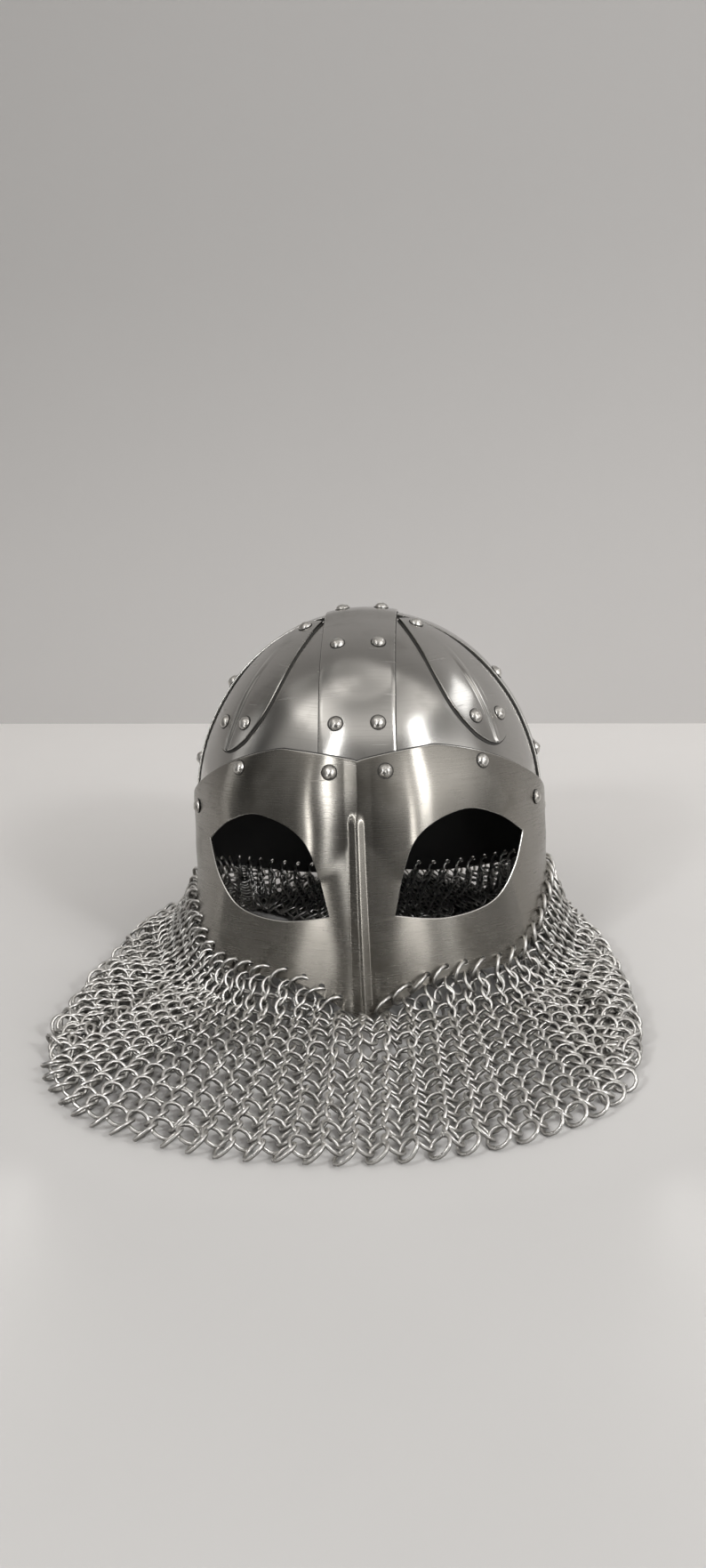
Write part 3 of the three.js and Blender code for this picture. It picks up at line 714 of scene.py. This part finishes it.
bpy.ops.mesh.primitive_uv_sphere_add(segments=20, ring_count=14, radius=1, location=(0, 0, 0))
dome = start_piece("rivet_dome")
bpy.ops.object.mode_set(mode="EDIT")
bpy.ops.mesh.select_all(action="SELECT")
bpy.ops.mesh.bisect(plane_co=(0, 0, 0), plane_no=(0, 0, 1), clear_inner=True, use_fill=True)
bpy.ops.object.mode_set(mode="OBJECT")
dome_points = points_of(dome)
reach = np.hypot(dome_points[:, 0], dome_points[:, 1])
swell = np.clip(1 - reach ** 2.6, 0, 1) ** 0.75
dome_points[:, 2] = np.where(dome_points[:, 2] > 1e-4, swell, 0)
dome_points *= (RIVET_RADIUS, RIVET_RADIUS, RIVET_RISE)
rivet_seats = []


def tip_over(out):
    """The turn from upright to a seat's own way out."""
    return Vector((0, 0, 1)).rotation_difference(Vector(out)).to_matrix()


def set_rivet(node, point):
    """Sets a slightly uneven head where point(lift) says, which gives its place at any lift."""
    seat, above = point(np.array([0.0]))[0], point(np.array([1.0]))[0]
    out = unit(above - seat)
    rivet_seats.append((seat, out))
    head = dome.copy()
    head.data = dome.data.copy()
    head.name = head.data.name = "head_" + node
    bpy.context.collection.objects.link(head)
    spin = Matrix.Rotation(chance.uniform(0, 6.28), 3, "Z")
    points = dome_points.copy()
    ripples = points[:, :2] @ chance.normal(0, 1.1, (2, 2)) + chance.uniform(0, 6, 2)
    points[:, 2] *= 1 + 0.05 * np.sin(ripples).sum(1)
    points = points @ np.array(tip_over(out) @ spin).T + seat + np.array(out) * RIVET_SEAT
    put_points(head, into_place(points))
    head.data.materials.append(RIVET_STEEL)
    smooth(head, 50)
    finish_piece(head, "rivet", node)


for row, climb in CROWN_RIVETS:
    angle = one * math.radians(climb)
    level = OVERLAY + long_band_lift(angle)
    for side, sign in SIDES:
        across = one * sign * CROWN_RIVET_ASIDE
        set_rivet(
            f"rivet_band_{row}_{side}",
            lambda lift: on_band(on_long_band, across, angle, level + lift))
for row, climb in CROSS_RIVETS:
    for side, sign in SIDES:
        angle = one * math.radians(climb if sign > 0 else 180 - climb)
        for end, way in (("front", -1), ("rear", 1)):
            across = one * way * CROSS_RIVET_ASIDE
            set_rivet(
                f"rivet_cross_{row}_{end}_{side}",
                lambda lift: on_band(on_cross_band, across, angle, OVERLAY + lift))
for name, turn in LEAVES:
    for place, along, aside in LEAF_RIVETS:
        across = one * math.copysign(1, turn) * (1 if abs(turn) < 90 else -1) * aside
        set_rivet(
            f"rivet_leaf_{name}_{place}",
            lambda lift: on_leaf(turn, one * along, across, OVERLAY + lift))
for name, turn, height in PLATE_RIVETS:
    for side, sign in SIDES:
        set_rivet(
            f"rivet_{name}_{side}",
            lambda lift: on_plate(one * sign * turn, one * height, SHEET + lift))
bpy.data.objects.remove(dome)

# A dark ring round the foot of each rivet head: painted shade, with some grime.
SHADOW_RING_WIDER, SHADOW_RING_DEPTH = 0.5, 0.24
bpy.ops.object.select_all(action="DESELECT")
shadow_rings = []
for seat, out in rivet_seats:
    bpy.ops.mesh.primitive_cylinder_add(
        vertices=20, radius=RIVET_RADIUS + SHADOW_RING_WIDER, depth=SHADOW_RING_DEPTH, location=(0, 0, 0))
    disc = start_piece("rivet_shadow_and_grime")
    raised = points_of(disc) + (0, 0, SHADOW_RING_DEPTH / 2)
    put_points(disc, into_place(raised @ np.array(tip_over(out)).T + seat))
    shadow_rings.append(disc)
select_only(*shadow_rings)
bpy.ops.object.join()
rivet_shadow_and_grime = start_piece("rivet_shadow_and_grime")
rivet_shadow_and_grime.data.materials.append(SEAM_SHADOW_AND_GRIME)
finish_piece(rivet_shadow_and_grime, "rivet")


# The mail: rows of rings, each leaning the other way from the row above, linked four in one. Its lower
# edge lies as in the part's source, and beside the helmet the spare length is folded back under.
RING_RADIUS, WIRE_RADIUS, RIM_RING_SIZE = 5.7, 0.98, 1.12
RING_LEAN, LYING = 38, 3.4  # degrees out of the mail's face, and the height of a lying ring's middle
ROWS, ROW_STEP = 24, 6.4
MAIL_LONG = (ROWS - 1) * ROW_STEP
OUTER_COLUMNS, TUCKED_COLUMNS = 64, 22
# The turn of a column on the rim, then x and y of its end on the floor.
MAIL_EDGE = np.array([
    (-111, -114, 60), (-102, -138, 40), (-92, -150, 0), (-81, -158, -72), (-70, -163.5, -136),
    (-59, -154, -181), (-48, -126, -219), (-35, -88, -240), (-20, -46, -251), (0, 2, -255),
    (20, 48, -248), (35, 84, -234), (48, 114, -213), (59, 131, -180), (70, 138, -130),
    (81, 138, -76), (92, 132, -10), (102, 122, 36), (111, 107, 58)], float)
TUCKED_EDGE = np.array([
    (118, 89, 54), (127, 66, 44), (140, 48, 30), (158, 26, 20), (180, 0, 15),
    (202, -26, 20), (220, -48, 30), (233, -66, 44), (242, -89, 54)], float)


def laid_columns():
    """Each column's start and end, in even steps along the outer edge and along the nape."""
    fine = spline(MAIL_EDGE, 24)
    length = lengths_along(fine[:, 1:])
    even = np.linspace(0, length[-1], OUTER_COLUMNS)
    outer = [np.interp(even, length, fine[:, i]) for i in range(3)]
    turns = np.linspace(TUCKED_EDGE[0, 0], TUCKED_EDGE[-1, 0], TUCKED_COLUMNS)
    inner = spline(TUCKED_EDGE, 24)
    tucked = [turns] + [np.interp(turns, inner[:, 0], inner[:, i]) for i in (1, 2)]
    return np.vstack([np.column_stack(outer), np.column_stack(tucked)])


mail_ends = laid_columns()
COLUMNS = len(mail_ends)
mail_lap = np.vstack([mail_ends, mail_ends[:1] + (360, 0, 0)])


def mail_line(place):
    """The way that a column of rings takes, from below the rim to its last ring.

    Gives the points of that way, the length up to each, and the length that the rings take up.
    """
    turn, end_x, end_y = (
        float(np.interp(place % COLUMNS, np.arange(COLUMNS + 1), mail_lap[:, i])) for i in range(3))
    wrapped = (turn + 180) % 360 - 180
    inside = float(ease(abs(wrapped), 100, 116))
    here = one * wrapped
    rim = leaned_plate(here, rim_height(here), 0.6)[0]
    out = unit((leaned_plate(here, rim_height(here), 10.6)[0] - rim)[:2])
    high = max(4.4, rim[2] - 4.5)
    start = rim[:2] + out * (lerp(2.8, -1.5, inside) + 2.4 * math.exp(-((wrapped / 11) ** 2)))
    gap = np.array([end_x, end_y]) - start
    run = max(8.0, np.linalg.norm(gap) - (RING_RADIUS + WIRE_RADIUS) * (1 - inside))
    way = unit(gap)
    fall = min(run, lerp(max(20.0, 0.95 * high), max(7.0, 0.4 * high), inside))
    t = np.linspace(0, run, 90)
    spare = MAIL_LONG - (run + 0.55 * high)
    fold = float(ease(spare, 14, 40) * ease(abs(wrapped), 48, 66)) * (1 - inside)
    heap = 7.5 * math.exp(-((wrapped / 15) ** 2)) * np.sin(math.pi * np.clip(t / 46, 0, 1))
    wave = 1.6 * np.sin(0.9 * place + t / 17) * ease(t, 10, 40)
    rise = (high - LYING) * np.clip(1 - t / fall, 0, 1) ** 2 + LYING + heap
    rise = rise + (5.6 * fold) * ease(t, 0.25 * run, 0.8 * run)
    rise = rise + np.maximum(0, wave) * (0.4 + fold)
    line = np.column_stack([start + way * t[:, None], rise])
    if fold > 0.05:
        bend = np.linspace(0, math.pi, 12)[1:]
        drop = (line[-1, 2] - LYING) / 2
        swept = line[-1, :2] + way * (np.sin(bend) * drop)[:, None]
        turned = np.column_stack([swept, line[-1, 2] - drop * (1 - np.cos(bend))])
        back = np.linspace(0, spare, 30)[1:]
        level = np.full(len(back), turned[-1, 2])
        under = np.column_stack([turned[-1, :2] - way * back[:, None], level])
        line = np.vstack([line, turned, under])
    far = lengths_along(line)
    return line, far, min(far[-1], MAIL_LONG) if fold > 0.05 else far[-1]


mail_lines = {i / 2: mail_line(i / 2) for i in range(2 * COLUMNS)}


def along_line(place, row):
    line, far, total = mail_lines[place % COLUMNS]
    goal = (np.clip(row, 0, ROWS - 1) / (ROWS - 1)) ** 1.08 * total
    return np.array([np.interp(goal, far, line[:, i]) for i in range(3)])


centres, normals, homes = [], [], []
for row in range(ROWS):
    for column in range(COLUMNS):
        place = (column + 0.5 * (row % 2)) % COLUMNS
        side = unit(along_line(place + 0.5, row) - along_line(place - 0.5, row))
        face = unit(np.cross(side, along_line(place, row + 0.6) - along_line(place, row - 0.6)))
        down = unit(np.cross(face, side))
        loose = 1.6 if row in (0, 1) else 1.0
        lean = math.radians(RING_LEAN + chance.normal(0, 3 * loose)) * (1 if row % 2 else -1)
        skew = math.radians(chance.normal(0, 3.5 * loose))
        centres.append(along_line(place, row) + chance.normal(0, 0.3, 3) * (1, 1, 0.5))
        normals.append(unit(math.cos(lean) * face + math.sin(lean) * side + math.tan(skew) * down))
        homes.append(column)
centres, normals, homes = np.array(centres), np.array(normals), np.array(homes)

bpy.ops.mesh.primitive_torus_add(
    major_radius=RING_RADIUS, minor_radius=WIRE_RADIUS,
    major_segments=13, minor_segments=5, location=(0, 0, 0))
ring = start_piece("ring_pattern")
ring_points = points_of(ring)
ring_faces = np.array([face.vertices[:] for face in ring.data.polygons])
ring_normals = (ring_points - unit(ring_points * (1, 1, 0)) * RING_RADIUS) / WIRE_RADIUS
FLOOR_CLEAR = 0.1


def link_rings(name, centres, normals, nodes, size=1.0):
    """Copies of one ring, each set on its own centre and axis, as one joined mesh.

    A map holds how far the wire's surface faces up, which paints light on the wire's top and shade
    below it.
    """
    reference = np.where(np.abs(normals[:, 2:3]) < 0.9, (0, 0, 1), (1, 0, 0))
    sideways = unit(np.cross(normals, reference))
    frames = np.stack([sideways, np.cross(normals, sideways), normals], -1)
    points = np.einsum("rij,pj->rpi", frames, ring_points * size) + centres[:, None]
    sunk = np.minimum(points[..., 2].min(axis=1), FLOOR_CLEAR) - FLOOR_CLEAR
    points[..., 2] -= sunk[:, None]
    faces = ring_faces[None] + (np.arange(len(centres)) * len(ring_points))[:, None, None]
    placed = (points.reshape(-1, 3) + (*FOOTPRINT_SHIFT, 0)) / 1000
    mesh = bpy.data.meshes.new(name)
    mesh.from_pydata(placed.tolist(), [], faces.reshape(-1, 4).tolist())
    piece = bpy.data.objects.new(name, mesh)
    bpy.context.collection.objects.link(piece)
    upward = np.einsum("rj,pj->rp", frames[:, 2], ring_normals).ravel() * 0.5 + 0.5
    corners = np.column_stack([upward, upward])[faces.ravel()]
    mesh.uv_layers.new(name="wear").data.foreach_set("uv", corners.ravel().astype(np.float32))
    mesh.polygons.foreach_set("use_smooth", np.ones(len(mesh.polygons), dtype=bool))
    mesh.materials.append(MAIL_WIRE)
    finish_piece(piece, "mail", *nodes)


third = OUTER_COLUMNS // 3
for name, first, last, nodes in (
        ("mail_right_side", 0, third, ()),
        ("mail_front", third, 2 * third, ("mail_skirt",)),
        ("mail_left_side", 2 * third, OUTER_COLUMNS, ()),
        ("mail_tucked_in", OUTER_COLUMNS, COLUMNS, ("mail_tuck",))):
    mine = (homes >= first) & (homes < last)
    link_rings(name, centres[mine], normals[mine], nodes)

# Rings through the eyelets, all slanting the same way, which carry the top row.
RIM_SLANT, RIM_SLANT_SPREAD, RIM_SWING = 26, 8, math.radians(50)
holes = rim_height(eyelet_turns) + EYELET_UP
hole_points = leaned_plate(eyelet_turns, holes, SHEET / 2)
hole_out = unit(leaned_plate(eyelet_turns, holes, SHEET / 2 + 5) - hole_points)
rim_side = unit(
    leaned_plate(eyelet_turns + 0.5, holes, SHEET / 2)
    - leaned_plate(eyelet_turns - 0.5, holes, SHEET / 2))
rim_down = unit(np.cross(rim_side, hole_out))
rim_down *= -np.sign(rim_down[:, 2:3])
slant = np.radians(RIM_SLANT + chance.normal(0, RIM_SLANT_SPREAD, len(holes)))[:, None]
drop = unit(np.cos(slant) * rim_down - np.sin(slant) * rim_side)
swung = math.cos(RIM_SWING) * hole_out - math.sin(RIM_SWING) * rim_side
rim_axis = unit(np.cross(drop, swung) + chance.normal(0, 0.10, hole_out.shape))
rim_centres = hole_points + drop * RING_RADIUS * RIM_RING_SIZE
link_rings("rim_rings", rim_centres, rim_axis, (), RIM_RING_SIZE)
bpy.data.objects.remove(ring)


# Floor, wall, light and camera, in metres.

def stage_finish(name, near, far, axis, start, end, rough):
    """A plain painted surface whose tone drifts from near to far along one axis: painted light and
    shade.
    """
    finish = Finish(bpy.data.materials.new(name))
    place = finish.place("Object")
    drift = finish.between(finish.parts(place)[axis], start, end)
    drift = drift + (finish.cloud(place, 9, 4, 0.6) - 0.5) * 0.08
    tone = finish.blend(drift, (*near, 1), (*far, 1))
    return finish.paint({"Base Color": tone, "Roughness": rough})


def glow(name, strength):
    """A surface that only shines."""
    return Finish(bpy.data.materials.new(name)).paint({
        "Base Color": (0, 0, 0, 1), "Specular IOR Level": 0.0, "Emission Strength": strength})


STAGE_SIZE, WALL_BEHIND, WALL_TURN, PAPER_RADIUS = 8, 0.705, math.radians(-8.3), 3.9

bpy.ops.object.select_all(action="DESELECT")
bpy.ops.mesh.primitive_plane_add(size=STAGE_SIZE, location=(0, 0, 0))
floor = start_piece("floor")
# Painted light and shade: the floor is painted darker in front and paler towards the wall.
floor_paint = stage_finish(
    "pale_floor", (0.470, 0.462, 0.453), (0.80, 0.784, 0.77), 1, -0.5, 0.7, 0.55)
floor.data.materials.append(floor_paint.material)

# The wall is see-through from behind, so that it doesn't hide the helmet's back.
bpy.ops.mesh.primitive_plane_add(
    size=STAGE_SIZE, location=(0, WALL_BEHIND, 0), rotation=(math.radians(90), 0, WALL_TURN))
wall = start_piece("wall")
bpy.ops.object.transform_apply(location=True, rotation=True)
# Painted shade: the wall is painted darker towards its top.
wall_paint = stage_finish(
    "pale_wall", (0.475, 0.464, 0.456), (0.37, 0.361, 0.354), 2, 0.0, 0.6, 0.7)
from_behind = wall_paint.value("ShaderNodeNewGeometry", None, None, "Backfacing")
wall.data.materials.append(wall_paint.paint({"Alpha": 1 - from_behind}).material)

# Paper all round, far off, that lights nothing and isn't mirrored: it closes the view past the wall.
bpy.ops.object.select_all(action="DESELECT")
bpy.ops.mesh.primitive_cylinder_add(
    vertices=64, radius=PAPER_RADIUS, depth=STAGE_SIZE, end_fill_type="NOTHING",
    location=(0, 0, STAGE_SIZE / 2))
paper = start_piece("far_paper")
far_paper = glow("far_paper", 1.0).paint({"Emission Color": (0.50, 0.488, 0.479, 1)})
paper.data.materials.append(far_paper.material)
paper.visible_diffuse = paper.visible_glossy = False
paper.visible_shadow = paper.visible_transmission = False

HELMET_MIDDLE = Vector((0.012, 0.07, 0.12))


def softbox(name, place, size, power, tilt=0):
    """A lamp that faces the helmet, of a width and height, tilted by degrees."""
    light = bpy.data.lights.new(name, "AREA")
    light.shape, light.size, light.size_y = "RECTANGLE", size[0], size[1]
    light.energy = power
    lamp = bpy.data.objects.new(name, light)
    lamp.location = place
    facing = (HELMET_MIDDLE - Vector(place)).to_track_quat("-Z", "Y")
    lamp.rotation_euler = (facing @ Quaternion((0, 0, 1), math.radians(tilt))).to_euler()
    bpy.context.collection.objects.link(lamp)
    return lamp


def round_helmet(bearing, climb, far):
    """A place at a bearing from straight ahead of the mask and a climb over the level, in degrees."""
    bearing, climb = math.radians(bearing), math.radians(climb)
    level = math.cos(climb)
    way = Vector((math.sin(bearing) * level, -math.cos(bearing) * level, math.sin(climb)))
    return HELMET_MIDDLE + far * way


# Three lamps that light the stage and aren't mirrored, and three that the steel shows.
for lamp in (
        softbox("ceiling_panel", (0.0, 0.25, 2.3), (2.6, 1.6), 1.0),
        softbox("shade_right", round_helmet(42, 28, 1.7), (0.17, 0.17), 8.0),
        softbox("shade_left", round_helmet(-34, 31, 1.7), (0.17, 0.17), 6.5)):
    lamp.visible_glossy = False
softbox("strip_right", round_helmet(49, 27, 1.3), (0.18, 1.1), 4.2, -8)
softbox("strip_left", round_helmet(-24, 27, 1.3), (0.09, 1.1), 3.6)
softbox("window_right", round_helmet(106, 38, 1.3), (0.5, 0.26), 0.85)

# A card round the front, low down, which only the steel mirrors: dark, with the foot of each lamp on
# it. Bands are pairs of a share of the turn, with a half straight ahead of the mask, and brightness.
CARD_EAST, CARD_NORTH = 0.012, 0.04
bpy.ops.object.select_all(action="DESELECT")
bpy.ops.mesh.primitive_cone_add(
    vertices=96, radius1=0.25, radius2=0.32, depth=0.139, end_fill_type="NOTHING",
    location=(CARD_EAST, CARD_NORTH, 0.0735))
card = start_piece("low_card")
bpy.ops.object.transform_apply(location=True)
bpy.ops.object.mode_set(mode="EDIT")
bpy.ops.mesh.select_all(action="SELECT")
bpy.ops.mesh.bisect(plane_co=(0, CARD_NORTH, 0), plane_no=(0, 1, 0), clear_outer=True)
bpy.ops.object.mode_set(mode="OBJECT")
low_room = glow("low_room", 0.9)
east, north, height = low_room.parts(low_room.place("Object"))
low_bands = low_room.bands(low_room.bearing(east - CARD_EAST, north - CARD_NORTH), (
    (0.0, 0.3), (0.26, 0.10), (0.31, 0.20), (0.335, 0.05), (0.378, 0.12), (0.390, 0.6),
    (0.398, 1.2), (0.4015, 9.0), (0.4065, 9.0), (0.411, 0.2), (0.42, 0.03), (0.575, 0.01),
    (0.582, 0.3), (0.5865, 8.0), (0.590, 7.0), (0.595, 0.9), (0.606, 0.6), (0.625, 0.75),
    (0.645, 0.5), (0.665, 0.3), (0.70, 0.12), (0.715, 0.2), (0.738, 0.6), (0.78, 0.6), (1.0, 0.3)))
above_mail = low_room.between(height, 0.01, 0.03)
low_room.paint({
    "Emission Color": low_room.blend(above_mail, (0.2, 0.197, 0.193, 1), low_bands)})
card.data.materials.append(low_room.material)
card.visible_camera = card.visible_diffuse = card.visible_shadow = False

# The room round the lamps, as the steel mirrors it: dim in front, with soft upright bands at the sides
# and level bands overhead, which are brighter to some sides than to others.
world = bpy.data.worlds.new("studio")
bpy.context.scene.world = world
room = Finish(world)
east, north, height = room.parts(room.node("ShaderNodeTexCoord").outputs["Generated"])
walls = room.bands(room.bearing(east, north), (
    (0.0, 0.55), (0.12, 0.95), (0.21, 1.0), (0.235, 0.35), (0.25, 0.08), (0.27, 0.08),
    (0.29, 0.32), (0.335, 0.34), (0.35, 0.2), (0.37, 0.40), (0.40, 0.5), (0.445, 0.14),
    (0.475, 0.06), (0.515, 0.05), (0.545, 0.9), (0.57, 1.8), (0.60, 2.6), (0.665, 2.6),
    (0.70, 2.2), (0.73, 1.5), (0.76, 0.6), (0.79, 0.2), (0.815, 0.02), (0.84, 0.04),
    (0.87, 0.30), (0.90, 0.60), (1.0, 0.55)))
ceiling = room.bands(height, (
    (0.0, 0.2), (0.5, 0.25), (0.66, 0.28), (0.71, 0.42), (0.77, 1.15), (0.84, 0.92),
    (0.90, 0.62), (0.93, 0.45), (0.942, 0.44), (0.955, 0.98), (0.975, 0.70), (1.0, 0.68)))
sides = room.bands(room.bearing(east, north), (
    (0.0, 1.0), (0.15, 0.75), (0.22, 0.45), (0.27, 0.7), (0.32, 2.2), (0.36, 1.8),
    (0.42, 1.0), (0.60, 1.0), (0.66, 1.1), (0.72, 1.35), (0.85, 1.35), (1.0, 1.0)))
ceiling = room.value("ShaderNodeVectorMath", {"operation": "MULTIPLY"}, {0: ceiling, 1: sides})
backdrop = room.tree.nodes["Background"]
room.feed(backdrop.inputs["Color"], room.blend(room.between(height, 0.34, 0.62), walls, ceiling))
backdrop.inputs["Strength"].default_value = 0.9

# The camera, held by hand and a little tilted.
EYE_POINT, CAMERA_ROLL, LENS = Vector((0.0507, -0.6179, 0.2846)), math.radians(2.64), 27.04
level_right = Vector((0.9976, 0.0694, 0.0)).normalized()
ahead = Vector((-0.0670, 0.9636, -0.2588)).normalized()
above = level_right.cross(ahead).normalized()
right = level_right * math.cos(CAMERA_ROLL) - above * math.sin(CAMERA_ROLL)
upright = level_right * math.sin(CAMERA_ROLL) + above * math.cos(CAMERA_ROLL)
lens = bpy.data.cameras.new("camera")
lens.sensor_fit, lens.sensor_height, lens.sensor_width, lens.lens = "VERTICAL", 36, 36, LENS
lens.clip_start, lens.clip_end = 0.01, 50
camera = bpy.data.objects.new("camera", lens)
rows = [(right[i], upright[i], -ahead[i], EYE_POINT[i]) for i in range(3)]
camera.matrix_world = Matrix((*rows, (0, 0, 0, 1)))
bpy.context.collection.objects.link(camera)
bpy.context.scene.camera = camera

bpy.context.scene.view_settings.view_transform = "Standard"
